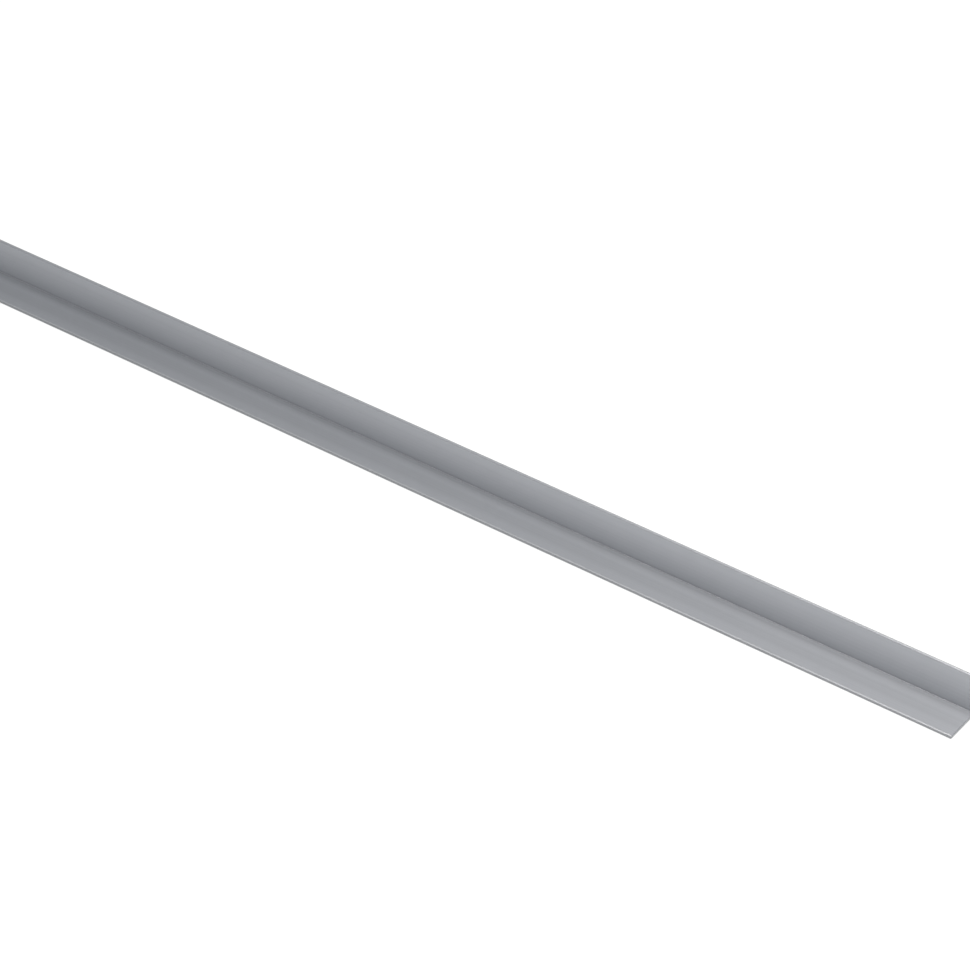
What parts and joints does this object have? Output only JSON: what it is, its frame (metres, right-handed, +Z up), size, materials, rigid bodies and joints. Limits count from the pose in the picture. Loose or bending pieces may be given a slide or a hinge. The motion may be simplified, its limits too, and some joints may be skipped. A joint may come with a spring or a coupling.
{
  "type": "aluminium angle profile",
  "caption": "Long straight aluminium extrusion of L section with equal legs, a nearly sharp inside corner, slightly rounded leg edges and sawn ends; it covers, trims or braces an edge.",
  "frame": {"origin": "middle of the length, under the middle of the base leg, on the surface that it lies on", "axes": "+X along the length, +Y across the base leg from its toe to the upright leg, +Z up along the upright leg"},
  "size_m": [1, 0.02, 0.02],
  "materials": {
    "aluminium": "satin grey, as extruded, with faint die lines along the length"
  },
  "bodies": {
    "root": {"angle_profile": "aluminium"}
  },
  "joints": []
}
